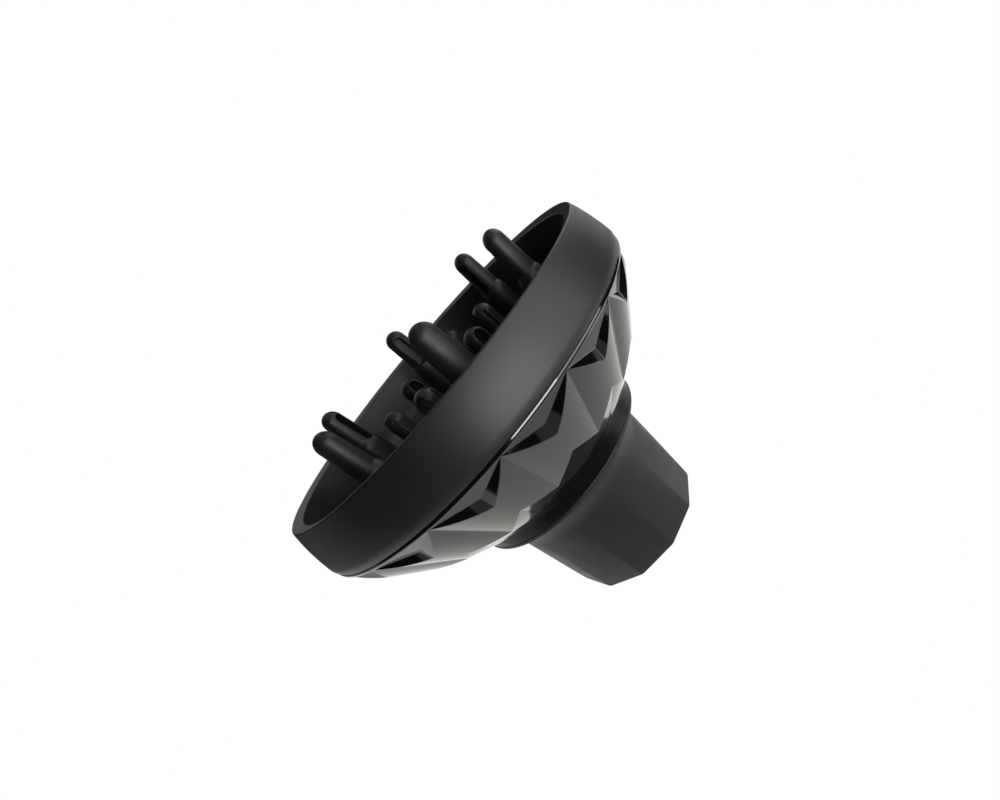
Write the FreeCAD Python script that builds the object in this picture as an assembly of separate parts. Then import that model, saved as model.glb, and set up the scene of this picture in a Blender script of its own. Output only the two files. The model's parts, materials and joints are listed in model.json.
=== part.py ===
import FreeCAD, Part
import math
import os

# Hair dryer diffuser, in millimetres.
# It stands on the mouth of its soft neck, with the bowl and its fingers pointing up (+Z).
# The origin is the centre of the neck's mouth. One tall finger points along +Y and one along -Y.

# ---- driving dimensions ------------------------------------------------------------------------
SECTORS = 18                 # facet pattern repeats round the shell
FINGERS = 6                  # fingers in each ring
NECK_SIDES = 12              # flat sides at the neck's mouth

LIP_Z = 102.2                # plane of the bowl's lip
LIP_R = 65.0                 # outer edge of the lip
LIP_INNER_R = 61.5           # the lip slopes down to its inner edge
LIP_INNER_Z = 101.0
BAND_R = 68.6                # widest part of the matte band
BAND_Z = 87.9
BAND_MIDDLE = (67.25, 95.0)  # a point half way up the band's gentle curve
BAND_FOOT_R = 68.35
BAND_FOOT_Z = 86.3
BAND_WALL = 2.3

SHELL_TOP_Z = 85.2
SHELL_TOP_R = 68.2
SHELL_FLOOR_Z = 51.0
SHELL_FLOOR_R = 39.6
SHELL_WALL = 2.4
SHELL_LIFT = 0.9             # how far the inner facets sit above the outer ones

NOTCH_TOP = (64.2, 80.4)     # radius and height of the notch's shallow end, between two ridges
NOTCH_FOOT = (63.8, 76.4)    # and of its deep end
VALLEY_Z = 67.7              # lower end of the valley under each notch
RIDGE_FOOT = (51.8, 61.5)    # lower end of each ridge

PLATE_Z = 77.6               # top of the plate inside the bowl
PLATE_T = 2.2
PLATE_R = 54.4
LEDGE_R = 50.5
LEDGE_T = 2.0

TALL_RING_R = 42.6           # tall fingers
TALL_TIP_Z = 114.0
TALL_WIDTH = 8.0
TALL_DEPTH = 6.8
TALL_SHOULDER_Z = 97.0       # top of the finger's wider foot
TALL_PEG_R = 2.5
SHORT_RING_R = 23.0          # short fingers
SHORT_TIP_Z = 100.2
SHORT_WIDTH = 7.8
SHORT_PEG_R = 2.0
PEG_LENGTH = 4.0

SCREW_RING_R = 44.0
SCREW_R = 1.5
POST_R = 3.5

DUCT_R = 27.5                # outside of the rigid air duct
DUCT_BORE_R = 24.8
DUCT_FOOT_Z = 24.5
DUCT_TOP_Z = 60.0
COLLAR_Z = 46.5              # joint face between the collar ring and the soft neck
COLLAR_R = 38.6

NECK_R = 31.35
NECK_MOUTH_R = 29.8          # corner to centre at the mouth
NECK_BORE_R = 25.5           # seat for the dryer's nozzle
NECK_SEAT_Z = 24.0           # upper end of that seat
NECK_FLANGE_R = 38.6
RUNNING_GAP = 0.06           # between the soft neck and the duct that it pulls off

AXIS = FreeCAD.Vector(0, 0, 1)
ORIGIN = FreeCAD.Vector(0, 0, 0)


# ---- helpers -----------------------------------------------------------------------------------
def polar(radius, angle_deg, z):
    angle = math.radians(angle_deg)
    return FreeCAD.Vector(radius * math.cos(angle), radius * math.sin(angle), z)


def section(radius, z):
    """A point of a turned part's profile."""
    return FreeCAD.Vector(radius, 0, z)


def profile_wire(steps):
    """Closed profile from (r, z) points; a step of two points is an arc through the first."""
    edges = []
    start = section(*steps[0])
    here = start
    for step in steps[1:] + [steps[0]]:
        if isinstance(step[0], tuple):
            there = section(*step[1])
            edges.append(Part.Arc(here, section(*step[0]), there).toShape())
        else:
            there = section(*step)
            edges.append(Part.LineSegment(here, there).toShape())
        here = there
    return Part.Wire(edges)


def dome_point(radius, tip_z):
    """A point half way up a half-ball of this radius, for the arc to its tip."""
    reach = radius * math.cos(math.pi / 4)
    return (reach, tip_z - radius + reach)


def turned(steps):
    """Solid of revolution about the Z axis."""
    return Part.Face(profile_wire(steps)).revolve(ORIGIN, AXIS, 360)


def cylinder(radius, z_low, z_high, x=0.0, y=0.0):
    return Part.makeCylinder(radius, z_high - z_low, FreeCAD.Vector(x, y, z_low))


def placed(shape, ring_radius, angle_deg):
    """Copy of a finger or screw made at the axis, moved out along +X and turned about Z."""
    copy = shape.copy()
    copy.translate(FreeCAD.Vector(ring_radius, 0, 0))
    copy.rotate(ORIGIN, AXIS, angle_deg)
    return copy


def polygon_face(points):
    return Part.Face(Part.makePolygon(list(points) + [points[0]]))


def export(name, shape):
    shape.exportStep(os.path.join("parts", name + ".step"))


# ---- faceted shell -----------------------------------------------------------------------------
HALF_SECTOR = 180.0 / SECTORS
RIM_STEPS = 4                # straight pieces that follow the round seam, per sector


def plane_radius(a, b, c, angle_deg, z):
    """Radius at which the plane through a, b and c meets a meridian at height z."""
    normal = (b - a).cross(c - a)
    outward = polar(1.0, angle_deg, 0.0)
    return (normal.dot(a) - normal.z * z) / normal.dot(outward)


def faceted_solid(inset, lift, floor_z):
    """The faceted form, as a closed solid; inset and lift make the smaller one for the hollow."""
    top_z = SHELL_TOP_Z
    top_r = SHELL_TOP_R - inset
    floor_r = SHELL_FLOOR_R - inset
    faces = []
    top_ring = []
    floor_ring = []
    for i in range(SECTORS):
        left = 2 * HALF_SECTOR * i
        middle = left + HALF_SECTOR
        right = left + 2 * HALF_SECTOR
        knot_l = polar(top_r, left, top_z)
        knot_r = polar(top_r, right, top_z)
        notch_top = polar(NOTCH_TOP[0] - inset, middle, NOTCH_TOP[1] + lift)
        notch_foot = polar(NOTCH_FOOT[0] - inset, middle, NOTCH_FOOT[1] + lift)
        ridge_l = polar(RIDGE_FOOT[0] - inset, left, RIDGE_FOOT[1] + lift)
        ridge_r = polar(RIDGE_FOOT[0] - inset, right, RIDGE_FOOT[1] + lift)
        valley_z = VALLEY_Z + lift
        valley_r = plane_radius(knot_l, notch_foot, ridge_l, middle, valley_z)
        valley = polar(valley_r, middle, valley_z)
        floor_m = polar(floor_r, middle, floor_z)
        floor_next = polar(floor_r, right + HALF_SECTOR, floor_z)
        rim = [polar(top_r, left + 2 * HALF_SECTOR * k / RIM_STEPS, top_z) for k in range(RIM_STEPS + 1)]
        rim[0] = knot_l
        rim[-1] = knot_r
        faces += [polygon_face((a, b, notch_top)) for a, b in zip(rim, rim[1:])]
        faces.append(polygon_face((knot_l, notch_top, notch_foot)))
        faces.append(polygon_face((knot_r, notch_top, notch_foot)))
        faces.append(polygon_face((knot_l, notch_foot, valley, ridge_l)))
        faces.append(polygon_face((knot_r, notch_foot, valley, ridge_r)))
        faces.append(polygon_face((valley, ridge_l, floor_m)))
        faces.append(polygon_face((valley, ridge_r, floor_m)))
        faces.append(polygon_face((ridge_r, floor_m, floor_next)))
        top_ring += rim[:-1]
        floor_ring.append(floor_m)
    faces.append(polygon_face(top_ring))
    faces.append(polygon_face(floor_ring))
    shell = Part.Shell(faces)
    shell.sewShape()
    solid = Part.Solid(shell)
    if solid.Volume < 0:
        solid.reverse()
    return solid


def screw_angles():
    return [360.0 / FINGERS * i for i in range(FINGERS)]


def make_facet_shell():
    outer = faceted_solid(0.0, 0.0, SHELL_FLOOR_Z)
    hollow = faceted_solid(SHELL_WALL, SHELL_LIFT, SHELL_FLOOR_Z + 2.0)
    shell = outer.cut(hollow)
    post = cylinder(POST_R, SHELL_FLOOR_Z, PLATE_Z - PLATE_T)
    for angle in screw_angles():
        shell = shell.fuse(placed(post, SCREW_RING_R, angle).common(outer))
    pilot = cylinder(SCREW_R, PLATE_Z - PLATE_T - 9.0, PLATE_Z)
    for angle in screw_angles():
        shell = shell.cut(placed(pilot, SCREW_RING_R, angle))
    return shell.cut(cylinder(DUCT_R, SHELL_FLOOR_Z - 5, SHELL_FLOOR_Z + 5)).removeSplitter()


# ---- front of the bowl -------------------------------------------------------------------------
def make_rim_ring():
    """Matte band, lip and inner wall in one moulding, hollow between its two walls."""
    ledge_z = PLATE_Z - PLATE_T
    return turned([
        (LIP_R - 0.5, LIP_Z),
        ((LIP_R - 0.1, LIP_Z - 0.15), (LIP_R + 0.05, LIP_Z - 0.5)),
        (BAND_MIDDLE, (BAND_R, BAND_Z)),
        (BAND_FOOT_R, BAND_FOOT_Z),
        (BAND_FOOT_R - BAND_WALL, BAND_FOOT_Z),
        (BAND_R - BAND_WALL, BAND_Z),
        (BAND_MIDDLE[0] - BAND_WALL, BAND_MIDDLE[1] + 0.6),
        (LIP_INNER_R + 1.6, BAND_MIDDLE[1] + 0.6),
        (62.5, 88.0),
        ((60.6, 81.0), (57.0, 76.0)),
        (55.8, ledge_z - LEDGE_T),
        (LEDGE_R, ledge_z - LEDGE_T),
        (LEDGE_R, ledge_z),
        (PLATE_R + 0.3, ledge_z),
        (PLATE_R + 0.3, PLATE_Z),
        ((58.6, 82.0), (60.5, 88.0)),
        (LIP_INNER_R, LIP_INNER_Z - 0.4),
        (LIP_INNER_R + 0.4, LIP_INNER_Z),
    ])


def make_seam_trim():
    """Thin glossy hoop between the matte band and the facets."""
    return turned([
        (SHELL_TOP_R - 2.3, SHELL_TOP_Z),
        (SHELL_TOP_R, SHELL_TOP_Z),
        ((SHELL_TOP_R + 0.25, (SHELL_TOP_Z + BAND_FOOT_Z) / 2), (SHELL_TOP_R + 0.05, BAND_FOOT_Z)),
        (SHELL_TOP_R - 2.1, BAND_FOOT_Z),
    ])


def finger_angles(tall):
    """Tall fingers stand between the short ones."""
    first = 180.0 / FINGERS if tall else 0.0
    return [first + 360.0 / FINGERS * i for i in range(FINGERS)]


def air_hole_rings():
    """Radius of the ring, radius of the holes, and their angles."""
    pitch = 360.0 / FINGERS
    beside_screws = [a + side * 13.0 for a in screw_angles() for side in (-1, 1)]
    return [
        (10.5, 2.6, [pitch * i for i in range(6)]),
        (17.0, 2.0, [pitch * (i + 0.5) for i in range(6)]),
        (32.0, 2.8, [20.0 * i + 10.0 for i in range(18)]),
        (44.5, 2.8, beside_screws),
    ]


def make_finger_plate():
    plate = cylinder(PLATE_R, PLATE_Z - PLATE_T, PLATE_Z)
    holes = [cylinder(SCREW_R, PLATE_Z - 5, PLATE_Z + 5)]
    low, high = PLATE_Z - 5, PLATE_Z + 5
    for ring_r, hole_r, angles in air_hole_rings():
        holes += [placed(cylinder(hole_r, low, high), ring_r, a) for a in angles]
    holes += [placed(cylinder(SCREW_R, low, high), SCREW_RING_R, a) for a in screw_angles()]
    holes += [placed(cylinder(TALL_PEG_R, low, high), TALL_RING_R, a) for a in finger_angles(True)]
    holes += [placed(cylinder(SHORT_PEG_R, low, high), SHORT_RING_R, a) for a in finger_angles(False)]
    return plate.cut(holes)


def make_tall_finger():
    """Rounded finger on a wider foot, with a pocket on the side that faces the bowl's centre."""
    tip_r = TALL_WIDTH / 2
    shoulder_z = TALL_SHOULDER_Z
    body = turned([
        (0.0, PLATE_Z),
        (5.9, PLATE_Z),
        (5.5, shoulder_z - 3.0),
        ((5.3, shoulder_z - 0.8), (4.5, shoulder_z + 1.2)),
        (tip_r, TALL_TIP_Z - tip_r),
        (dome_point(tip_r, TALL_TIP_Z), (0.0, TALL_TIP_Z)),
    ])
    squeeze = FreeCAD.Matrix()
    squeeze.scale(TALL_DEPTH / TALL_WIDTH, 1.0, 1.0)
    body = body.transformGeometry(squeeze)
    pocket_w = 3.6
    pocket_top = TALL_TIP_Z - 3.0
    floor_x = 1.7            # the pocket's back wall, outside the finger's centre line
    pocket = Part.makeBox(12.0, pocket_w, pocket_top - pocket_w / 2 - shoulder_z,
                          FreeCAD.Vector(floor_x - 12.0, -pocket_w / 2, shoulder_z))
    crown = Part.makeCylinder(pocket_w / 2, 12.0, FreeCAD.Vector(floor_x, 0, pocket_top - pocket_w / 2),
                              FreeCAD.Vector(-1, 0, 0))
    body = body.cut(pocket.fuse(crown))
    return body.fuse(cylinder(TALL_PEG_R, PLATE_Z - PEG_LENGTH, PLATE_Z))


def make_short_finger():
    """Domed finger open through its middle, its side walls split by a thin vertical slot."""
    radius = SHORT_WIDTH / 2
    body = turned([
        (0.0, PLATE_Z),
        (radius + 0.5, PLATE_Z),
        (radius, SHORT_TIP_Z - radius),
        (dome_point(radius, SHORT_TIP_Z), (0.0, SHORT_TIP_Z)),
    ])
    arch_w = 4.0
    slot_w = 0.9
    floor_z = PLATE_Z + 3.0
    arch_top = SHORT_TIP_Z - 1.3
    arch = Part.makeBox(16.0, arch_w, arch_top - arch_w / 2 - floor_z, FreeCAD.Vector(-8, -arch_w / 2, floor_z))
    crown = Part.makeCylinder(arch_w / 2, 16.0, FreeCAD.Vector(-8, 0, arch_top - arch_w / 2),
                              FreeCAD.Vector(1, 0, 0))
    slot = Part.makeBox(slot_w, 16.0, arch_top - 1.0 - floor_z, FreeCAD.Vector(-slot_w / 2, -8, floor_z))
    body = body.cut(arch.fuse(crown)).cut(slot)
    return body.fuse(cylinder(SHORT_PEG_R, PLATE_Z - PEG_LENGTH, PLATE_Z))


def pan_screw(head_r, head_t, length):
    """Pan-head screw with a cross recess, its head resting on the plate."""
    edge = head_t * 0.45
    screw = turned([
        (0.0, PLATE_Z - length),
        (SCREW_R - 0.4, PLATE_Z - length),
        (SCREW_R, PLATE_Z - length + 1.0),
        (SCREW_R, PLATE_Z),
        (head_r, PLATE_Z),
        (head_r, PLATE_Z + edge),
        ((head_r * 0.7, PLATE_Z + head_t * 0.88), (0.0, PLATE_Z + head_t)),
    ])
    for turn in (0, 90):
        blade = Part.makeBox(head_r * 1.1, 0.7, head_t, FreeCAD.Vector(-head_r * 0.55, -0.35, PLATE_Z + 0.7))
        blade.rotate(ORIGIN, AXIS, turn)
        screw = screw.cut(blade)
    return screw


def make_plate_screws():
    screw = pan_screw(3.0, 2.1, 10.5)
    return Part.makeCompound([placed(screw, SCREW_RING_R, a) for a in screw_angles()])


# ---- inside the shell --------------------------------------------------------------------------
def make_air_spreader():
    """Hollow cone under the plate that turns the air outwards, on a boss for its screw."""
    under = PLATE_Z - PLATE_T
    cone = turned([
        (0.0, 57.0),
        ((1.4, 57.6), (2.2, 58.8)),
        ((7.0, 66.0), (17.0, 70.6)),
        (17.0, 72.2),
        ((6.4, 67.8), (4.0, 64.0)),
        (4.0, under),
        (0.0, under),
    ])
    return cone.cut(cylinder(SCREW_R, under - 9.0, under))


def make_spreader_screw():
    return pan_screw(3.4, 2.1, 10.5)


def make_inlet_duct():
    """Rigid tube through the shell's floor, with a flange inside."""
    flange_z = SHELL_FLOOR_Z + 2.0
    return turned([
        (DUCT_BORE_R, DUCT_FOOT_Z + 0.6),
        (DUCT_BORE_R + 0.6, DUCT_FOOT_Z),
        (DUCT_R - 0.8, DUCT_FOOT_Z),
        (DUCT_R, DUCT_FOOT_Z + 1.5),
        (DUCT_R, flange_z),
        (33.5, flange_z),
        (33.5, flange_z + 2.0),
        (DUCT_R, flange_z + 2.0),
        (DUCT_R, DUCT_TOP_Z),
        (DUCT_BORE_R, DUCT_TOP_Z),
    ])


def make_collar_ring():
    """Glossy ring on the duct, between the shell's floor and the soft neck."""
    return turned([
        (DUCT_R, COLLAR_Z),
        (COLLAR_R - 0.3, COLLAR_Z),
        (COLLAR_R, COLLAR_Z + 0.3),
        (COLLAR_R, SHELL_FLOOR_Z - 0.4),
        (COLLAR_R - 0.4, SHELL_FLOOR_Z),
        (DUCT_R, SHELL_FLOOR_Z),
    ])


# ---- soft neck ---------------------------------------------------------------------------------
def neck_outline(corner_r, roundness, z):
    """Twelve-sided outline whose sides bulge from flat (0) to one full circle (1)."""
    step = 360.0 / NECK_SIDES
    flat_r = corner_r * math.cos(math.radians(step / 2))
    side_r = flat_r + (corner_r - flat_r) * roundness
    edges = []
    for i in range(NECK_SIDES):
        a = polar(corner_r, step * i, z)
        b = polar(corner_r, step * (i + 1), z)
        if roundness:
            edges.append(Part.Arc(a, polar(side_r, step * (i + 0.5), z), b).toShape())
        else:
            edges.append(Part.LineSegment(a, b).toShape())
    return Part.Wire(edges)


def make_neck_sleeve():
    """Soft neck: twelve-sided at its mouth, round at its flange, bored for the dryer's nozzle."""
    body_top = 34.0
    outlines = [neck_outline(NECK_MOUTH_R, 0.04, 0.0), neck_outline(30.7, 0.4, 12.0),
                neck_outline(NECK_R, 1.0, body_top)]
    neck = Part.makeLoft(outlines, True, True)
    flange = turned([
        (0.0, body_top),
        (NECK_R, body_top),
        ((NECK_R + 1.6, 40.0), (NECK_FLANGE_R - 0.45, 44.75)),
        ((NECK_FLANGE_R - 0.13, 44.95), (NECK_FLANGE_R, 45.3)),
        (NECK_FLANGE_R, COLLAR_Z),
        (0.0, COLLAR_Z),
    ])
    seat = cylinder(NECK_BORE_R, -1.0, COLLAR_Z)
    sleeve_hole = cylinder(DUCT_R + RUNNING_GAP, NECK_SEAT_Z, COLLAR_Z + 1.0)
    lead_in = Part.makeCone(NECK_BORE_R + 1.2, NECK_BORE_R, 1.2)
    return neck.fuse(flange).cut([seat, sleeve_hole, lead_in]).removeSplitter()


# ---- files -------------------------------------------------------------------------------------
os.makedirs("parts", exist_ok=True)

export("rim_ring", make_rim_ring())
export("seam_trim", make_seam_trim())
export("facet_shell", make_facet_shell())
export("finger_plate", make_finger_plate())
export("plate_screws", make_plate_screws())
export("air_spreader", make_air_spreader())
export("spreader_screw", make_spreader_screw())
export("inlet_duct", make_inlet_duct())
export("collar_ring", make_collar_ring())
export("neck_sleeve", make_neck_sleeve())

tall_finger = make_tall_finger()
for number, angle in enumerate(finger_angles(True), start=1):
    export("tall_finger_%d" % number, placed(tall_finger, TALL_RING_R, angle))

short_finger = make_short_finger()
for number, angle in enumerate(finger_angles(False), start=1):
    export("short_finger_%d" % number, placed(short_finger, SHORT_RING_R, angle))
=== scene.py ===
import json
import math

import bmesh
import bpy
from mathutils import Matrix, Vector

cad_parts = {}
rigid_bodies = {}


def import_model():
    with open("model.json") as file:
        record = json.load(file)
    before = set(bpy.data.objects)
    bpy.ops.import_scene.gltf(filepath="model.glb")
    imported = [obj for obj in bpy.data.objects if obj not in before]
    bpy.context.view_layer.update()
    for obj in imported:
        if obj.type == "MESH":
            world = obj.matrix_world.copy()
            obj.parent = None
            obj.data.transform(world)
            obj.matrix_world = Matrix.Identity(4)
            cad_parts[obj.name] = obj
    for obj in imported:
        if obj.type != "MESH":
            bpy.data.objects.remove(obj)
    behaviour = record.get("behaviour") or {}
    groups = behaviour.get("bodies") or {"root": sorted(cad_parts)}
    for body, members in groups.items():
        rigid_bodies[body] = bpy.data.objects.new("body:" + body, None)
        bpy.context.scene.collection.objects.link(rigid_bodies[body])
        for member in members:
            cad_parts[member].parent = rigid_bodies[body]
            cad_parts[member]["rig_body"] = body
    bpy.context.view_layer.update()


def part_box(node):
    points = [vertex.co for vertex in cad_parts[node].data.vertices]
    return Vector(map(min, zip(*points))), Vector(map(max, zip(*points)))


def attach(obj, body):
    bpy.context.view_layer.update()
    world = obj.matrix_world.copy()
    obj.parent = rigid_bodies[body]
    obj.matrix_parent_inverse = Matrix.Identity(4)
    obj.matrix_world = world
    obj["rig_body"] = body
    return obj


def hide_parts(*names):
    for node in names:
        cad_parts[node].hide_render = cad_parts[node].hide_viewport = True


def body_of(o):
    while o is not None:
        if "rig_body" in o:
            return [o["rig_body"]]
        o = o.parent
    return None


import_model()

# Looks for a hair dryer diffuser.
# Shapes are worked out in millimetres and scaled to metres as the meshes are made.
MM = 0.001

SECTORS = 18                # repeats of the facet pattern
NECK_SIDES = 12             # flat sides at the neck's mouth
FINGERS = 6                 # of each kind
ROUND = 256                 # segments round the large turned pieces


# ---- places taken from the frame ---------------------------------------------------------------
def node_box(node):
    """Lowest and highest corner of a CAD node, in millimetres."""
    low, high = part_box(node)
    return Vector(low) / MM, Vector(high) / MM


def top(node):
    return node_box(node)[1].z


def bottom(node):
    return node_box(node)[0].z


def radius(node):
    """Radius of a node that is turned about the axis."""
    return (node_box(node)[1].y - node_box(node)[0].y) / 2


LIP_Z = top("rim_ring")
BAND_R = radius("rim_ring")
SEAM_TOP_Z = top("seam_trim")
SHELL_TOP_Z = top("facet_shell")
SHELL_FLOOR_Z = bottom("facet_shell")
PLATE_Z = top("finger_plate")
PLATE_UNDER_Z = bottom("finger_plate")
PLATE_R = radius("finger_plate")
COLLAR_FOOT_Z = bottom("collar_ring")
COLLAR_R = radius("collar_ring")
NECK_TOP_Z = top("neck_sleeve")
DUCT_FOOT_Z = bottom("inlet_duct")
DUCT_TOP_Z = top("inlet_duct")
TALL_TIP_Z = top("tall_finger_1")
SHORT_TIP_Z = top("short_finger_1")


# ---- sizes that no node's box gives ------------------------------------------------------------
DUCT_R = 27.5               # outside of the duct
DUCT_BORE_R = 24.8
SHELL_FLOOR_T = 2.0         # thickness of the shell's floor
SHOULDER_Z = 97.0           # top of a tall finger's wider foot
TALL_RING_R = 42.6
SHORT_RING_R = 23.0
SCREW_RING_R = 44.0
TALL_PEG_R = 2.5
SHORT_PEG_R = 2.0
PEG_LENGTH = 4.0            # of a finger's peg, below the plate's top
SCREW_R = 1.5               # thread
SCREW_LENGTH = 10.5         # under the head


# ---- mesh helpers ------------------------------------------------------------------------------
def polar(r, angle_deg, z):
    angle = math.radians(angle_deg)
    return Vector((r * math.cos(angle), r * math.sin(angle), z))


def add_object(name, mesh):
    obj = bpy.data.objects.new(name, mesh)
    bpy.context.scene.collection.objects.link(obj)
    return obj


def mesh_from(name, points, faces):
    """Object from millimetre points and faces of their indices, its normals pointing outwards."""
    mesh = bpy.data.meshes.new(name)
    mesh.from_pydata([Vector(p) * MM for p in points], [], faces)
    tidy_mesh(mesh)
    return add_object(name, mesh)


def tidy_mesh(mesh):
    bm = bmesh.new()
    bm.from_mesh(mesh)
    bmesh.ops.remove_doubles(bm, verts=bm.verts, dist=1e-7)
    bmesh.ops.recalc_face_normals(bm, faces=bm.faces)
    for face in bm.faces:
        face.smooth = True
    bm.to_mesh(mesh)
    bm.free()


def apply_modifiers(obj):
    graph = bpy.context.evaluated_depsgraph_get()
    mesh = bpy.data.meshes.new_from_object(obj.evaluated_get(graph), depsgraph=graph)
    obj.modifiers.clear()
    obj.data = mesh
    return obj


def weight_normals(obj):
    """Large faces keep their own direction, and the small ones on rounded edges turn between them."""
    modifier = obj.modifiers.new("normals", "WEIGHTED_NORMAL")
    modifier.keep_sharp = True
    modifier.weight = 90
    return apply_modifiers(obj)


def arc_points(a, through, b, count):
    """Points on the circle through three (r, z) points, from a to b, without a itself."""
    ax, ay = a
    bx, by = through
    cx, cy = b
    d = 2 * (ax * (by - cy) + bx * (cy - ay) + cx * (ay - by))
    a2, b2, c2 = ax * ax + ay * ay, bx * bx + by * by, cx * cx + cy * cy
    ux = (a2 * (by - cy) + b2 * (cy - ay) + c2 * (ay - by)) / d
    uy = (a2 * (cx - bx) + b2 * (ax - cx) + c2 * (bx - ax)) / d
    reach = math.hypot(ax - ux, ay - uy)
    start = math.atan2(ay - uy, ax - ux)
    middle = (math.atan2(by - uy, bx - ux) - start) % math.tau
    sweep = (math.atan2(cy - uy, cx - ux) - start) % math.tau
    if middle > sweep:
        sweep -= math.tau
    turns = [start + sweep * k / count for k in range(1, count + 1)]
    return [(ux + reach * math.cos(t), uy + reach * math.sin(t)) for t in turns]


def rounded(corners, steps=4):
    """Closed profile from (r, z, rounding) corners; a rounding above 0 makes an arc of that radius."""
    points = []
    for i, (r, z, rounding) in enumerate(corners):
        if not rounding:
            points.append((r, z))
            continue
        here = Vector((r, z))
        back = Vector(corners[i - 1][:2]) - here
        ahead = Vector(corners[(i + 1) % len(corners)][:2]) - here
        half = back.angle(ahead) / 2
        reach = min(rounding / math.tan(half), 0.45 * back.length, 0.45 * ahead.length)
        curve_r = reach * math.tan(half)
        first = here + back.normalized() * reach
        last = here + ahead.normalized() * reach
        inward = (back.normalized() + ahead.normalized()).normalized()
        middle = here + inward * (curve_r / math.sin(half) - curve_r)
        points.append(tuple(first))
        points += arc_points(tuple(first), tuple(middle), tuple(last), steps)
    return points


def corners_on_arc(a, through, b, count):
    """Unrounded corners along an arc, for rounded()."""
    return [(r, z, 0) for r, z in arc_points(a, through, b, count)]


def lathe(name, loop, segments=ROUND, outline=None):
    """Closed ring from a closed (r, z) profile; outline(r, z, angle) may change a point's radius."""
    points = []
    faces = []
    n = len(loop)
    for s in range(segments):
        angle = 360.0 * s / segments
        for r, z in loop:
            points.append(polar(outline(r, z, angle) if outline else r, angle, z))
    for s in range(segments):
        t = (s + 1) % segments
        for i in range(n):
            j = (i + 1) % n
            faces.append((s * n + i, s * n + j, t * n + j, t * n + i))
    return mesh_from(name, points, faces)


def lathe_solid(name, line, segments=64):
    """Solid from an open (r, z) line whose two ends lie on the axis."""
    points = [(0, 0, line[0][1]), (0, 0, line[-1][1])]
    faces = []
    n = len(line) - 2
    for s in range(segments):
        points += [polar(r, 360.0 * s / segments, z) for r, z in line[1:-1]]
    for s in range(segments):
        a = 2 + s * n
        b = 2 + (s + 1) % segments * n
        faces.append((0, a, b))
        faces.append((1, b + n - 1, a + n - 1))
        for i in range(n - 1):
            faces.append((a + i, a + i + 1, b + i + 1, b + i))
    return mesh_from(name, points, faces)


def block(name, low, high):
    """Plain block, used only to cut other shapes."""
    xs, ys, zs = zip(low, high)
    points = [(x, y, z) for x in xs for y in ys for z in zs]
    faces = [(0, 1, 3, 2), (4, 6, 7, 5), (0, 4, 5, 1), (2, 3, 7, 6), (0, 2, 6, 4), (1, 5, 7, 3)]
    return mesh_from(name, points, faces)


def arch_cutter(name, x_low, x_high, width, z_low, z_high, foot_round):
    """Bar along X with an arched top and a slightly rounded foot, used to cut a finger."""
    half = width / 2
    side = [(-half, z_low + foot_round), (-half, z_high - half)]
    crown = [(half * math.cos(t), z_high - half + half * math.sin(t))
             for t in [math.pi - math.pi * k / 16 for k in range(1, 17)]]
    foot = rounded([(half, z_low, foot_round), (-half, z_low, foot_round), (0, z_high, 0)])
    section = side + crown + foot[:-1]          # the third corner only gives the other two their direction
    n = len(section)
    points = [(x, y, z) for x in (x_low, x_high) for y, z in section]
    faces = [tuple(range(n)), tuple(range(2 * n - 1, n - 1, -1))]
    faces += [(i, (i + 1) % n, n + (i + 1) % n, n + i) for i in range(n)]
    return mesh_from(name, points, faces)


def cut(obj, cutters):
    for cutter in cutters:
        modifier = obj.modifiers.new("cut", "BOOLEAN")
        modifier.operation = "DIFFERENCE"
        modifier.solver = "EXACT"
        modifier.object = cutter
        apply_modifiers(obj)
        bpy.data.objects.remove(cutter)
    return obj


def soften(obj, voxel_mm, smoothing):
    """Remeshes a cut shape finely and smooths it, so that every edge is rounded as on a moulding."""
    remesh = obj.modifiers.new("remesh", "REMESH")
    remesh.mode = "VOXEL"
    remesh.voxel_size = voxel_mm * MM
    smooth = obj.modifiers.new("smooth", "SMOOTH")
    smooth.factor = 0.5
    smooth.iterations = smoothing
    apply_modifiers(obj)
    tidy_mesh(obj.data)
    return obj


def stands_for(obj, node, body, material):
    """The piece takes a CAD node's place, rides on its body, and takes the given material."""
    obj.data.materials.clear()
    obj.data.materials.append(material)
    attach(obj, body)
    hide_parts(node)


# ---- materials ---------------------------------------------------------------------------------
NOISE_LOW, NOISE_HIGH = 0.3, 0.7    # a noise's usual span


def new_material(name, roughness, specular=0.5):
    material = bpy.data.materials.new(name)
    material.use_nodes = True
    shader = material.node_tree.nodes["Principled BSDF"]
    shader.inputs["Roughness"].default_value = roughness
    shader.inputs["Specular IOR Level"].default_value = specular
    return material, shader


def add_node(material, kind, **values):
    node = material.node_tree.nodes.new(kind)
    for key, value in values.items():
        node.inputs[key].default_value = value
    return node


def join(material, source, target):
    material.node_tree.links.new(source, target)


def place_of(material):
    """Point on the object, in millimetres."""
    coordinates = add_node(material, "ShaderNodeTexCoord")
    scaled = add_node(material, "ShaderNodeMapping", Scale=(1 / MM,) * 3)
    join(material, coordinates.outputs["Object"], scaled.inputs["Vector"])
    return scaled.outputs["Vector"]


def noise(material, place, per_mm, detail=2.0, roughness=0.5):
    texture = add_node(material, "ShaderNodeTexNoise", Scale=per_mm, Detail=detail, Roughness=roughness)
    join(material, place, texture.inputs["Vector"])
    return texture.outputs["Fac"]


def spread(material, factor, low, high):
    """Takes a noise's usual span to the span low..high."""
    node = add_node(material, "ShaderNodeMapRange")
    ends = (("From Min", NOISE_LOW), ("From Max", NOISE_HIGH), ("To Min", low), ("To Max", high))
    for name, value in ends:
        node.inputs[name].default_value = value
    join(material, factor, node.inputs["Value"])
    return node.outputs["Result"]


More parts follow.
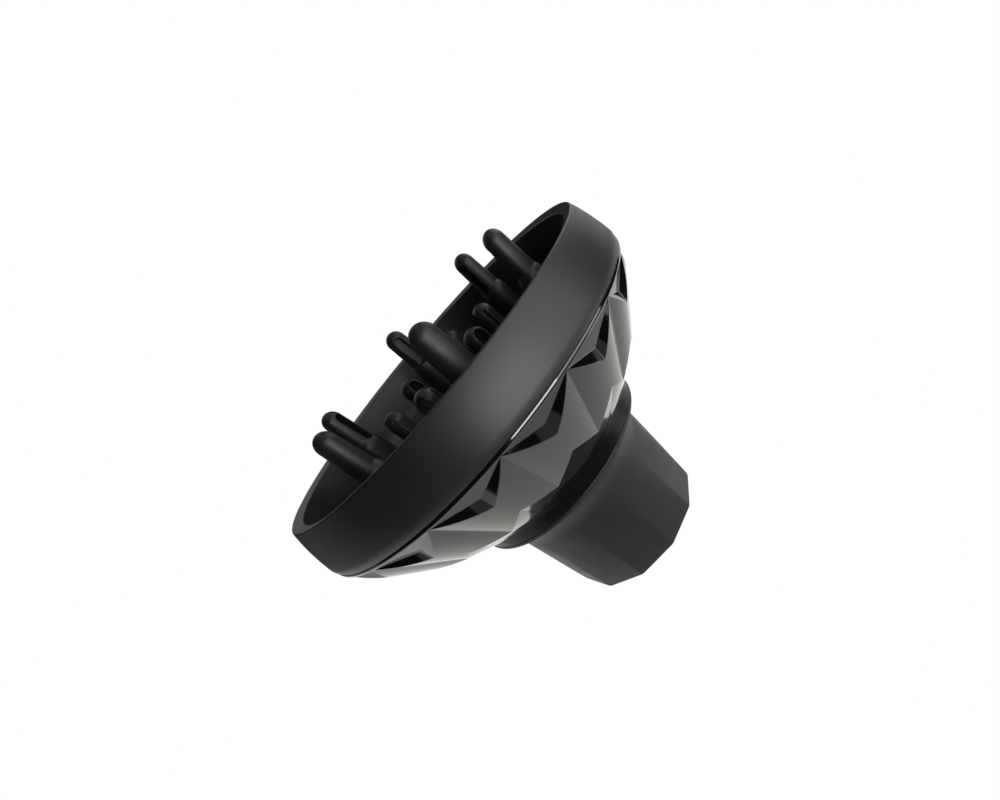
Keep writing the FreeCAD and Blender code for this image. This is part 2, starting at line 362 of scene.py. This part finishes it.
def tint(material, shader, factor, dark, light):
    """Base colour between two shades."""
    mix = material.node_tree.nodes.new("ShaderNodeMix")
    mix.data_type = "RGBA"
    mix.inputs["A"].default_value = (*dark, 1)
    mix.inputs["B"].default_value = (*light, 1)
    join(material, factor, mix.inputs["Factor"])
    join(material, mix.outputs["Result"], shader.inputs["Base Color"])


def bump(material, shader, height, depth):
    """Grain of this depth, in millimetres."""
    node = add_node(material, "ShaderNodeBump", Strength=1.0, Distance=depth * MM)
    join(material, height, node.inputs["Height"])
    join(material, node.outputs["Normal"], shader.inputs["Normal"])


def soft_touch_material():
    """Soft-touch paint of the band: fine even grain, a little gloss."""
    material, shader = new_material("soft_touch_band", 0.44)
    place = place_of(material)
    grain = noise(material, place, 5.0, 3.0)
    cloud = noise(material, place, 0.06, 3.0)
    tint(material, shader, spread(material, cloud, 0, 1), (0.0066, 0.0066, 0.0062), (0.0086, 0.0086, 0.0082))
    join(material, spread(material, cloud, 0.42, 0.46), shader.inputs["Roughness"])
    bump(material, shader, grain, 0.012)
    return material


def piano_black_material(name, specular):
    """Polished moulding with a clear gloss, very slightly wavy, and a little duller in places."""
    material, shader = new_material(name, 0.07, specular)
    place = place_of(material)
    wave = noise(material, place, 0.12, 2.0)
    wipe = noise(material, place, 0.7, 4.0, 0.65)
    tint(material, shader, spread(material, wave, 0, 1), (0.0014, 0.0014, 0.0017), (0.0022, 0.0022, 0.0025))
    join(material, spread(material, wipe, 0.05, 0.11), shader.inputs["Roughness"])
    bump(material, shader, wave, 0.02)
    return material


def collar_shade_material():
    """Deep black plastic with hardly any shine; the deep black and the weak reflection are painted shade
    standing for the shadowed gap between the shell and the neck's flange.
    """
    material, shader = new_material("collar_black_shade", 0.3, 0.12)
    place = place_of(material)
    wave = noise(material, place, 0.4, 3.0)
    grain = noise(material, place, 3.0, 3.0)
    tint(material, shader, spread(material, wave, 0, 1), (0.0010, 0.0010, 0.0012), (0.0018, 0.0018, 0.0020))
    join(material, spread(material, wave, 0.26, 0.34), shader.inputs["Roughness"])
    bump(material, shader, grain, 0.005)
    return material


def satin_material():
    """Satin black of the fingers: very fine grain, slightly cloudy gloss."""
    material, shader = new_material("satin_finger", 0.46, 0.4)
    place = place_of(material)
    grain = noise(material, place, 6.0, 3.0)
    cloud = noise(material, place, 0.25, 3.0)
    tint(material, shader, spread(material, cloud, 0, 1), (0.0070, 0.0070, 0.0074), (0.0100, 0.0100, 0.0104))
    join(material, spread(material, cloud, 0.42, 0.50), shader.inputs["Roughness"])
    bump(material, shader, grain, 0.008)
    return material


def moulded_material():
    """Fine spark-eroded grain of the plate, duct and spreader."""
    material, shader = new_material("moulded_bowl", 0.5)
    place = place_of(material)
    grain = noise(material, place, 3.5, 4.0, 0.6)
    cloud = noise(material, place, 0.1, 3.0)
    tint(material, shader, spread(material, cloud, 0, 1), (0.0080, 0.0080, 0.0082), (0.0115, 0.0115, 0.0118))
    join(material, spread(material, grain, 0.42, 0.58), shader.inputs["Roughness"])
    bump(material, shader, grain, 0.02)
    return material


def soft_neck_material():
    """Rubbery soft neck: fine grain, matte, a little glossier in some places than in others."""
    material, shader = new_material("soft_neck_rubber", 0.52, 0.37)
    place = place_of(material)
    grain = noise(material, place, 4.0, 3.0)
    cloud = noise(material, place, 0.08, 4.0, 0.6)
    tint(material, shader, spread(material, cloud, 0, 1), (0.0062, 0.0066, 0.0060), (0.0084, 0.0088, 0.0082))
    join(material, spread(material, cloud, 0.46, 0.58), shader.inputs["Roughness"])
    bump(material, shader, grain, 0.015)
    return material


def screw_material():
    """Dark plated steel, finely mottled."""
    material, shader = new_material("screw_steel", 0.32)
    shader.inputs["Metallic"].default_value = 1.0
    place = place_of(material)
    grain = noise(material, place, 7.0, 3.0)
    tint(material, shader, spread(material, grain, 0, 1), (0.16, 0.16, 0.165), (0.24, 0.24, 0.245))
    join(material, spread(material, grain, 0.26, 0.4), shader.inputs["Roughness"])
    bump(material, shader, grain, 0.01)
    return material


BAND = soft_touch_material()
GLOSS = piano_black_material("piano_black", 0.5)
SEAM = piano_black_material("piano_black_seam", 1.0)
COLLAR_SHADE = collar_shade_material()
SATIN = satin_material()
MOULDED = moulded_material()
NECK = soft_neck_material()
STEEL = screw_material()


# ---- rim: matte band, lip and inner wall ---------------------------------------------------------
def make_rim():
    """Band, lip and inner wall in one profile, hollow between the band and the inner wall."""
    lip_outer_r, lip_inner_r = BAND_R - 3.55, BAND_R - 7.1
    middle = (BAND_R - 1.35, LIP_Z - 7.2)
    widest = (BAND_R, LIP_Z - 14.3)
    foot_r = BAND_R - 0.25
    wall = 2.3
    roof_z = middle[1] + 0.6
    seat_r = PLATE_R + 0.3
    ledge_r = 50.5
    ledge_under_z = PLATE_UNDER_Z - 2.0
    back_top, back_middle, back_foot = (62.5, 88.0), (60.6, 81.0), (57.0, 76.0)
    front_middle, front_top = (58.6, 82.0), (60.5, 88.0)
    corners = [(lip_outer_r, LIP_Z, 0.55)]
    corners += corners_on_arc((lip_outer_r, LIP_Z), middle, widest, 12)[1:]
    corners += [
        (foot_r, SEAM_TOP_Z, 0.35),
        (foot_r - wall, SEAM_TOP_Z, 0.2),
        (BAND_R - wall, widest[1], 0),
        (middle[0] - wall, roof_z, 0.3),
        (lip_inner_r + 1.6, roof_z, 0.3),
        (*back_top, 0),
    ]
    corners += corners_on_arc(back_top, back_middle, back_foot, 6)
    corners += [
        (55.8, ledge_under_z, 0.3),
        (ledge_r, ledge_under_z, 0.3),
        (ledge_r, PLATE_UNDER_Z, 0.15),
        (seat_r, PLATE_UNDER_Z, 0),
        (seat_r, PLATE_Z, 0.2),
    ]
    corners += corners_on_arc((seat_r, PLATE_Z), front_middle, front_top, 10)
    corners.append((lip_inner_r, LIP_Z - 1.2, 0.4))
    rim = weight_normals(lathe("rim_band", rounded(corners, 5)))
    stands_for(rim, "rim_ring", "bowl", BAND)


def make_seam():
    """Thin glossy hoop between the band and the facets, its face leaning slightly upwards."""
    outer_r = BAND_R - 0.15
    low, high = math.radians(-16), math.radians(26)     # slopes of the face at its foot and its top
    curve_r = (SEAM_TOP_Z - SHELL_TOP_Z) / (math.sin(high) - math.sin(low))
    face = []
    for slope in [low + (high - low) * k / 8 for k in range(9)]:
        r = outer_r - curve_r * (1 - math.cos(slope))
        face.append((r, SHELL_TOP_Z + curve_r * (math.sin(slope) - math.sin(low))))
    loop = face + [(BAND_R - 2.5, SEAM_TOP_Z), (BAND_R - 2.7, SHELL_TOP_Z)]
    seam = weight_normals(lathe("seam_hoop", loop))
    stands_for(seam, "seam_trim", "bowl", SEAM)


# ---- faceted shell -------------------------------------------------------------------------------
# The form repeats between ridges. Each repeat is a bulging petal with a notch at its top.
HALF_PITCH = 180.0 / SECTORS
NOTCH_TOP = (64.5, 80.5)    # radius and height of the notch's shallow end, between two ridges
NOTCH_FOOT = (63.9, 76.4)   # and of its deep end
PETAL_FOOT = (57.7, 67.7)   # lower end of the petal's middle
RIDGE_FOOT = (51.8, 61.5)   # lower end of the crease between two petals
FLOOR_R = 39.6
KNOT_INSET = 0.4            # how far the ridges' upper ends lie inside the band
NOTCH_SAG = 0.6             # how far the notch's edge hangs below a straight line, half way along
COLUMNS = 7                 # divisions of half a petal's width
ROWS = 9                    # and of its height
SKIN_INSET = 2.4            # how far the inner skin lies inside the outer one
SKIN_LIFT = 0.9             # and above it
EDGE_WIDTH = 0.26           # of the bevel on every edge of the facets


def on_line(a, b, z):
    """Radius at height z on the line through two (r, z) points."""
    return a[0] + (b[0] - a[0]) * (z - a[1]) / (b[1] - a[1])


def strip_faces(bm, grid):
    for near, far in zip(grid, grid[1:]):
        for i in range(len(near) - 1):
            bm.faces.new((near[i], near[i + 1], far[i + 1], far[i]))


def facet_half(bm, middle, side, inset, lift, floor_z):
    """One half of a repeat: petal, notch wall, triangle under the rim, and the facets below."""
    corners = [(r - inset, z + lift) for r, z in (NOTCH_TOP, NOTCH_FOOT, PETAL_FOOT, RIDGE_FOOT)]
    notch_top, notch_foot, petal_foot, ridge_foot = corners
    knot = (BAND_R - KNOT_INSET - inset, SHELL_TOP_Z)
    notch_point = polar(notch_top[0], middle, notch_top[1])
    knot_point = polar(knot[0], middle + side * HALF_PITCH, knot[1])

    def at(share, r, z):
        return bm.verts.new(polar(r, middle + side * share * HALF_PITCH, z) * MM)

    chord_r = knot[0] * math.cos(math.radians(HALF_PITCH))
    chord_middle = polar(chord_r, middle, knot[1])
    petal, wall, triangle, ledge = [], [], [], []
    for share in [k / COLUMNS for k in range(COLUMNS + 1)]:
        sag = NOTCH_SAG * 4 * share * (1 - share)
        high = notch_foot[1] + (knot[1] - notch_foot[1]) * share - sag
        low = petal_foot[1] + (ridge_foot[1] - petal_foot[1]) * share
        column = []
        for z in [high + (low - high) * k / ROWS for k in range(ROWS + 1)]:
            middle_r = on_line(notch_foot, petal_foot, z)
            column.append(at(share, middle_r + (on_line(knot, ridge_foot, z) - middle_r) * share ** 2, z))
        edge_point = notch_point.lerp(knot_point, share) * MM
        petal.append(column)
        wall.append([bm.verts.new(edge_point), bm.verts.new(column[0].co)])
        chord_point = chord_middle.lerp(knot_point, share) * MM
        triangle.append([bm.verts.new(edge_point), bm.verts.new(chord_point)])
        ledge.append([bm.verts.new(chord_point), at(share, *knot)])
    for grid in (petal, wall, triangle, ledge):
        strip_faces(bm, grid)

    floor_point = at(0, FLOOR_R - inset, floor_z)
    for near, far in zip(petal, petal[1:]):
        bm.faces.new((near[-1], far[-1], floor_point))
    if side > 0:
        next_point = at(2, FLOOR_R - inset, floor_z)
        hole = [at(2 - k / 2, DUCT_R, floor_z) for k in range(5)]
        bm.faces.new((petal[-1][-1], floor_point, next_point))
        bm.faces.new([floor_point, next_point] + hole)


def open_edges(bm, z_low, z_high):
    return [e for e in bm.edges if e.is_boundary and all(z_low < v.co.z / MM < z_high for v in e.verts)]


def make_shell():
    """Outer and inner skins of the faceted form, joined at the rim and round the duct's hole."""
    bm = bmesh.new()
    for i in range(SECTORS):
        for side in (-1, 1):
            middle = HALF_PITCH * (2 * i + 1)
            facet_half(bm, middle, side, 0.0, 0.0, SHELL_FLOOR_Z)
            facet_half(bm, middle, side, SKIN_INSET, SKIN_LIFT, SHELL_FLOOR_Z + SHELL_FLOOR_T)
    bmesh.ops.remove_doubles(bm, verts=bm.verts, dist=2e-7)
    bmesh.ops.bridge_loops(bm, edges=open_edges(bm, SHELL_TOP_Z - 0.1, SHELL_TOP_Z + 0.1))
    bmesh.ops.bridge_loops(bm, edges=open_edges(bm, SHELL_FLOOR_Z - 0.1, SHELL_FLOOR_Z + SHELL_FLOOR_T + 0.1))
    mesh = bpy.data.meshes.new("faceted_shell")
    bm.to_mesh(mesh)
    bm.free()
    tidy_mesh(mesh)
    shell = add_object("faceted_shell", mesh)
    edges = shell.modifiers.new("edges", "BEVEL")
    edges.width = EDGE_WIDTH * MM
    edges.segments = 2
    edges.limit_method = "ANGLE"
    edges.angle_limit = math.radians(8)
    apply_modifiers(shell)
    weight_normals(shell)
    stands_for(shell, "facet_shell", "bowl", GLOSS)


# ---- inside the bowl -----------------------------------------------------------------------------
def ring_angles(count, first=0.0):
    return [first + 360.0 / count * i for i in range(count)]


def circle_spline(curve, x, y, r, points=8):
    """Smooth closed circle of a 2D curve."""
    spline = curve.splines.new("BEZIER")
    spline.bezier_points.add(points - 1)
    spline.use_cyclic_u = True
    reach = 4 / 3 * math.tan(math.pi / 2 / points) * r
    for i, point in enumerate(spline.bezier_points):
        t = math.tau * i / points
        ahead = Vector((-math.sin(t), math.cos(t), 0)) * reach
        centre = Vector((x + r * math.cos(t), y + r * math.sin(t), 0))
        point.co = centre * MM
        point.handle_left = (centre - ahead) * MM
        point.handle_right = (centre + ahead) * MM


def plate_holes():
    """Radius of the ring, radius of the holes, and their angles: air, screws, fingers, middle screw."""
    beside_screws = [a + side * 13.0 for a in ring_angles(6) for side in (-1, 1)]
    return [
        (10.5, 2.6, ring_angles(6)),
        (17.0, 2.0, ring_angles(6, 30.0)),
        (32.0, 2.8, ring_angles(18, 10.0)),
        (44.5, 2.8, beside_screws),
        (SCREW_RING_R, SCREW_R, ring_angles(6)),
        (TALL_RING_R, TALL_PEG_R, ring_angles(FINGERS, 30.0)),
        (SHORT_RING_R, SHORT_PEG_R, ring_angles(FINGERS)),
        (0.0, SCREW_R, [0.0]),
    ]


def make_plate():
    """Perforated plate, every hole with a rounded edge."""
    edge = 0.35
    curve = bpy.data.curves.new("plate_outline", "CURVE")
    curve.dimensions = "2D"
    curve.fill_mode = "BOTH"
    curve.resolution_u = 6
    circle_spline(curve, 0, 0, PLATE_R, 32)
    for ring_r, hole_r, angles in plate_holes():
        for angle in angles:
            centre = polar(ring_r, angle, 0)
            circle_spline(curve, centre.x, centre.y, hole_r)
    curve.extrude = ((PLATE_Z - PLATE_UNDER_Z) / 2 - edge) * MM
    curve.bevel_depth = edge * MM
    curve.bevel_resolution = 2
    curve.offset = -edge * MM
    outline = bpy.data.objects.new("plate_outline", curve)
    bpy.context.scene.collection.objects.link(outline)
    graph = bpy.context.evaluated_depsgraph_get()
    mesh = bpy.data.meshes.new_from_object(outline.evaluated_get(graph))
    bpy.data.objects.remove(outline)
    mesh.transform(Matrix.Translation((0, 0, (PLATE_Z + PLATE_UNDER_Z) / 2 * MM)))
    tidy_mesh(mesh)
    plate = weight_normals(add_object("perforated_plate", mesh))
    stands_for(plate, "finger_plate", "bowl", MOULDED)


def finger_line(peg_r, foot, tip_r, tip_z):
    """Profile of a finger from its peg, up its foot, to the tip's half-ball."""
    peg_end_z = PLATE_Z - PEG_LENGTH
    line = [(0, peg_end_z), (peg_r - 0.4, peg_end_z), (peg_r, peg_end_z + 0.5), (peg_r, PLATE_Z)]
    line += foot
    for turn in [math.pi / 2 * k / 12 for k in range(12)]:
        line.append((tip_r * math.cos(turn), tip_z - tip_r + tip_r * math.sin(turn)))
    return line + [(0, tip_z)]


def tall_finger_mesh():
    """Tall finger on the axis: wide oval foot, shoulder, rounded tip, pocket facing -X."""
    tip_r, flattening = 4.0, 0.85
    pocket_width, pocket_back_x = 3.6, 1.7
    below_shoulder = (5.5, SHOULDER_Z - 3.0)
    foot = [(5.9, PLATE_Z), (5.85, PLATE_Z + 1.0), below_shoulder]
    foot += arc_points(below_shoulder, (5.3, SHOULDER_Z - 0.8), (4.5, SHOULDER_Z + 1.2), 6)
    finger = lathe_solid("tall_finger", finger_line(TALL_PEG_R, foot, tip_r, TALL_TIP_Z))
    finger.data.transform(Matrix.Scale(flattening, 4, (1, 0, 0)))
    pocket = arch_cutter("pocket", -12.0, pocket_back_x, pocket_width, SHOULDER_Z, TALL_TIP_Z - 3.0, 1.2)
    return soften(cut(finger, [pocket]), 0.17, 7).data


def short_finger_mesh():
    """Short finger on the axis: arched opening right through along X, thin slot along Y."""
    tip_r, foot_top_z = 3.9, 84.0
    arch_width, slot_half = 4.0, 0.45
    arch_foot, arch_top = PLATE_Z + 3.0, SHORT_TIP_Z - 1.3
    reach = 8                               # well past both sides of the finger
    foot = [(tip_r + 0.5, PLATE_Z), (tip_r + 0.35, PLATE_Z + 2.0), (tip_r, foot_top_z)]
    finger = lathe_solid("short_finger", finger_line(SHORT_PEG_R, foot, tip_r, SHORT_TIP_Z + 0.05))
    arch = arch_cutter("arch", -reach, reach, arch_width, arch_foot, arch_top, 0.6)
    slot = block("slot", (-slot_half, -reach, arch_foot), (slot_half, reach, arch_top - 1.0))
    return soften(cut(finger, [arch, slot]), 0.14, 5).data


def make_fingers(kind, mesh):
    """Six fingers that share one mesh, each where its CAD node stands."""
    for number in range(1, FINGERS + 1):
        node = "%s_finger_%d" % (kind, number)
        low, high = node_box(node)
        centre = (low + high) / 2
        finger = add_object("%s_finger_piece_%d" % (kind, number), mesh)
        turn = Matrix.Rotation(math.atan2(centre.y, centre.x), 4, "Z")
        finger.matrix_world = Matrix.Translation((centre.x * MM, centre.y * MM, 0)) @ turn
        stands_for(finger, node, "bowl", SATIN)


def screw_mesh(name, head_r):
    """Pan-head screw on the axis with a cross recess, its head on the plate."""
    end_z, side_z, crown_z = PLATE_Z - SCREW_LENGTH, PLATE_Z + 0.95, PLATE_Z + 2.1
    line = [(0, end_z), (1.1, end_z), (SCREW_R, end_z + 1.0), (SCREW_R, PLATE_Z)]
    line += [(head_r - 0.15, PLATE_Z), (head_r, PLATE_Z + 0.15), (head_r, side_z)]
    line += arc_points((head_r, side_z), (head_r * 0.7, crown_z - 0.25), (0, crown_z), 8)
    screw = lathe_solid(name, line, 48)
    reach, half, recess_z, above_z = head_r * 0.55, 0.35, PLATE_Z + 0.7, PLATE_Z + 4
    blades = [block("blade", (-reach, -half, recess_z), (reach, half, above_z)),
              block("blade", (-half, -reach, recess_z), (half, reach, above_z))]
    return soften(cut(screw, blades), 0.1, 3).data


def make_screws():
    mesh = screw_mesh("plate_screw", 3.0)
    group = bpy.data.meshes.new("plate_screws")
    bm = bmesh.new()
    for angle in ring_angles(6):
        copy = mesh.copy()
        out = Matrix.Translation((SCREW_RING_R * MM, 0, 0))
        copy.transform(Matrix.Rotation(math.radians(angle), 4, "Z") @ out)
        bm.from_mesh(copy)
    bm.to_mesh(group)
    bm.free()
    stands_for(add_object("plate_screw_set", group), "plate_screws", "bowl", STEEL)
    middle = screw_mesh("middle_screw", 3.4)
    stands_for(add_object("middle_screw", middle), "spreader_screw", "bowl", STEEL)


def make_spreader():
    """Cone with its tip down, flaring under the plate, on a stem that meets the plate."""
    tip_z, stem_r = 57.0, 4.0
    tip_side, flare_edge, flare_top = (2.2, 58.8), (17.0, 70.6), (17.0, 72.2)
    line = [(0, tip_z)]
    line += arc_points((0.3, tip_z), (1.4, tip_z + 0.6), tip_side, 4)
    line += arc_points(tip_side, (7.0, 66.0), flare_edge, 12)
    line += [(17.15, 71.4), flare_top]
    line += arc_points(flare_top, (6.4, 67.8), (stem_r, 64.0), 10)
    line += [(stem_r, PLATE_UNDER_Z - 0.2), (stem_r - 0.2, PLATE_UNDER_Z), (0, PLATE_UNDER_Z)]
    spreader = weight_normals(lathe_solid("air_spreader_cone", line, 96))
    stands_for(spreader, "air_spreader", "bowl", MOULDED)


# ---- duct, collar and soft neck ------------------------------------------------------------------
def make_duct():
    """Tube through the shell's floor, with a flange that lies on the floor."""
    flange_r = 33.5
    flange_z = SHELL_FLOOR_Z + SHELL_FLOOR_T
    flange_top_z = flange_z + 2.0
    loop = rounded([
        (DUCT_BORE_R, DUCT_FOOT_Z, 0.6),
        (DUCT_R, DUCT_FOOT_Z, 1.1),
        (DUCT_R, flange_z, 0.2),
        (flange_r, flange_z, 0.3),
        (flange_r, flange_top_z, 0.3),
        (DUCT_R, flange_top_z, 0.4),
        (DUCT_R, DUCT_TOP_Z, 0.4),
        (DUCT_BORE_R, DUCT_TOP_Z, 0.4),
    ])
    duct = weight_normals(lathe("air_duct", loop, 128))
    stands_for(duct, "inlet_duct", "bowl", MOULDED)


def make_collar():
    loop = rounded([
        (DUCT_R, COLLAR_FOOT_Z, 0),
        (COLLAR_R, COLLAR_FOOT_Z, 0.25),
        (COLLAR_R, SHELL_FLOOR_Z, 0.3),
        (DUCT_R, SHELL_FLOOR_Z, 0),
    ])
    collar = weight_normals(lathe("collar_bead", loop))
    # The collar's near-black, barely reflecting material is painted shade for the shadowed gap between the
    # shell and the neck.
    stands_for(collar, "collar_ring", "bowl", COLLAR_SHADE)


ROUND_FROM_Z = 40.0         # above this the neck is round
EDGE_SOFTNESS = 0.0035      # how much of the radius the edges between its flat sides lose
BODY_TOP_Z = 34.0           # where the neck starts to flare into its flange


def neck_outline(r, z, angle_deg):
    """Twelve flat sides at the mouth that fade into a circle higher up; the bores stay round."""
    if r < DUCT_R + 0.5:
        return r
    share = min(1.0, max(0.0, z / ROUND_FROM_Z))
    roundness = 0.04 + 0.96 * (1 - (1 - share) ** 1.2)
    half_side = 180.0 / NECK_SIDES
    away = (angle_deg % (2 * half_side) - half_side) / half_side
    half = math.radians(half_side)
    flat = math.cos(half) / math.cos(half * away)
    softened = 1 - ((1 - flat) ** 6 + EDGE_SOFTNESS ** 6) ** (1 / 6)
    return r * (softened + (1 - softened) * roundness)


def make_neck():
    """Soft sleeve: bore for the nozzle below, wider bore for the duct above, flange at the collar."""
    mouth_r, body_r, flange_r = 29.8, 31.35, radius("neck_sleeve")
    bore_r, duct_bore_r, seat_z = 25.5, DUCT_R + 0.06, DUCT_FOOT_Z - 0.5
    chamfer = 1.2               # at the bore's mouth
    flange_foot_z = 45.2
    corners = [(bore_r + chamfer, 0, 0.3), (mouth_r, 0, 0.7)]
    for z in (2, 5, 8, 12, 16, 20, 25, 30, 34):
        corners.append((mouth_r + (body_r - mouth_r) * (z / BODY_TOP_Z) ** 0.72, z, 0))
    flare_end = (flange_r - 0.45, flange_foot_z - 0.45)
    corners += corners_on_arc((body_r, BODY_TOP_Z), (body_r + 1.6, 40.0), flare_end, 14)
    corners += [
        (flange_r, flange_foot_z, 0.3),
        (flange_r, NECK_TOP_Z, 0.35),
        (duct_bore_r, NECK_TOP_Z, 0.4),
        (duct_bore_r, seat_z, 0.15),
        (bore_r, seat_z, 0.4),
        (bore_r, chamfer, 0.3),
    ]
    neck = weight_normals(lathe("soft_neck", rounded(corners), 384, neck_outline))
    stands_for(neck, "neck_sleeve", "neck", NECK)


make_rim()
make_seam()
make_shell()
make_plate()
make_fingers("tall", tall_finger_mesh())
make_fingers("short", short_finger_mesh())
make_screws()
make_spreader()
make_duct()
make_collar()
make_neck()
# The patterns that the fingers' and screws' meshes were made on stand for nothing themselves.
for leftover in [o for o in bpy.data.objects if o.type == "MESH" and body_of(o) is None]:
    bpy.data.objects.remove(leftover)


# ---- floor, backdrop and light -------------------------------------------------------------------
TABLE_Z = -400.0
TABLE_SIDE = 102.0          # direction in which the light table reaches furthest, in degrees
TABLE_FRONT = 310.0         # its shortest reach
TABLE_SPREAD = 6400.0       # how fast it widens from one to the other
TABLE_REACH = 2400.0        # its longest reach
TABLE_GAP = 40.0            # between the light table and the dim one round it
TABLE_GLOW = 1.1
TABLE_TINT = (1.0, 1.02, 0.955)
DIM_R = 1000.0
DIM_GLOW = 0.42
FLOOR_REACH = 3900.0
PINHOLE_R = 0.1             # left in the middle of a disc


def glow_material(name, strength, colour=(1, 1, 1)):
    material = bpy.data.materials.new(name)
    material.use_nodes = True
    nodes = material.node_tree.nodes
    nodes.clear()
    glow = nodes.new("ShaderNodeEmission")
    glow.inputs["Color"].default_value = (*colour, 1)
    glow.inputs["Strength"].default_value = strength
    output = nodes.new("ShaderNodeOutputMaterial")
    material.node_tree.links.new(glow.outputs["Emission"], output.inputs["Surface"])
    return material


def seen_only_by(obj, camera, light):
    """Sets whether the camera sees this object, and whether it lights and is mirrored by others."""
    obj.visible_camera = camera
    obj.visible_diffuse = light
    obj.visible_glossy = light
    obj.visible_transmission = light
    obj.visible_shadow = False


def flat_ring(name, z, inner_outline, outer_outline, material):
    """Level ring between two outlines, each a function from an angle in degrees to a radius."""
    bm = bmesh.new()
    rows = []
    for angle in range(0, 360, 3):
        ends = [polar(outline(angle), angle, z) for outline in (inner_outline, outer_outline)]
        rows.append([bm.verts.new(end * MM) for end in ends])
    for near, far in zip(rows, rows[1:] + rows[:1]):
        bm.faces.new((near[0], near[1], far[1], far[0]))
    mesh = bpy.data.meshes.new(name)
    bm.to_mesh(mesh)
    bm.free()
    mesh.materials.append(material)
    return add_object(name, mesh)


def table_outline(angle):
    """The light table ends close by on the camera's side, and reaches far out behind the object."""
    share = max(0.0, (math.cos(math.radians(angle - TABLE_SIDE)) + 0.75) / 1.75)
    return min(TABLE_REACH, TABLE_FRONT + TABLE_SPREAD * share ** 2.2)


def dim_inner_outline(angle):
    return table_outline(angle) + TABLE_GAP


def dim_outer_outline(angle):
    return max(DIM_R, dim_inner_outline(angle) + 10.0)


def make_stage():
    """White backdrop and floor for the camera, and a light table far below for the gloss to mirror."""
    bm = bmesh.new()
    bmesh.ops.create_uvsphere(bm, u_segments=32, v_segments=16, radius=4.0)
    mesh = bpy.data.meshes.new("backdrop")
    bm.to_mesh(mesh)
    bm.free()
    mesh.materials.append(glow_material("backdrop", 1.0))
    backdrop = add_object("backdrop", mesh)
    floor_glow = glow_material("floor", 1.0)
    table_glow = glow_material("light_table", TABLE_GLOW, TABLE_TINT)
    dim_glow = glow_material("dim_table", DIM_GLOW)
    floor = flat_ring("floor", TABLE_Z + 1.0, lambda angle: PINHOLE_R, lambda angle: FLOOR_REACH, floor_glow)
    table = flat_ring("light_table", TABLE_Z, lambda angle: PINHOLE_R, table_outline, table_glow)
    dim = flat_ring("dim_table", TABLE_Z, dim_inner_outline, dim_outer_outline, dim_glow)
    for seen in (backdrop, floor):
        seen_only_by(seen, True, False)
    for mirrored in (table, dim):
        seen_only_by(mirrored, False, True)


def softbox(name, azimuth, elevation, distance, size, power):
    """Area light that looks at the bowl; azimuth from +X towards +Y, in degrees."""
    data = bpy.data.lights.new(name, "AREA")
    data.shape = "RECTANGLE"
    data.size, data.size_y = size
    data.energy = power
    light = bpy.data.objects.new(name, data)
    bpy.context.scene.collection.objects.link(light)
    aim = Vector((0, 0, 75 * MM))
    a, e = math.radians(azimuth), math.radians(elevation)
    away = Vector((math.cos(a) * math.cos(e), math.sin(a) * math.cos(e), math.sin(e)))
    light.location = aim + away * distance
    light.rotation_mode = "QUATERNION"
    light.rotation_quaternion = away.to_track_quat("Z", "Y")


def make_world(strength):
    world = bpy.data.worlds.new("studio")
    world.use_nodes = True
    background = world.node_tree.nodes["Background"]
    background.inputs["Color"].default_value = (1, 1, 1, 1)
    background.inputs["Strength"].default_value = strength
    bpy.context.scene.world = world


def make_camera():
    data = bpy.data.cameras.new("camera")
    data.lens = 17.58
    data.sensor_width = 36.0
    data.shift_x = -0.0647
    data.shift_y = 0.0158
    data.clip_start = 0.01
    camera = bpy.data.objects.new("camera", data)
    bpy.context.scene.collection.objects.link(camera)
    place = Vector((-11.75, -165.5, 121.1)) * MM
    away = Vector((-0.14344, -0.90981, 0.3894)).normalized()        # back along the line of sight
    roll = math.radians(-49.66)
    level = Vector((0, 0, 1)).cross(away).normalized()
    upright = away.cross(level)
    right = level * math.cos(roll) + upright * math.sin(roll)
    turn = Matrix((right, away.cross(right), away)).transposed().to_4x4()
    camera.matrix_world = Matrix.Translation(place) @ turn
    bpy.context.scene.camera = camera


make_stage()
make_world(0.02)
softbox("key", -83, 6, 0.55, (0.32, 0.26), 1.9)
softbox("fill", -46, 12, 0.60, (0.50, 0.50), 1.85)
softbox("side", 30, 8, 0.55, (0.30, 0.30), 0.22)
softbox("across", 15, 30, 0.55, (0.40, 0.30), 0.62)
softbox("over", 0, 75, 0.60, (0.40, 0.40), 0.30)
softbox("back", 100, 35, 0.55, (0.40, 0.40), 0.30)
softbox("low", -22, -36, 0.55, (0.22, 0.22), 0.38)
softbox("left", 155, 8, 0.55, (0.30, 0.30), 0.06)
make_camera()
bpy.context.scene.view_settings.view_transform = "Standard"
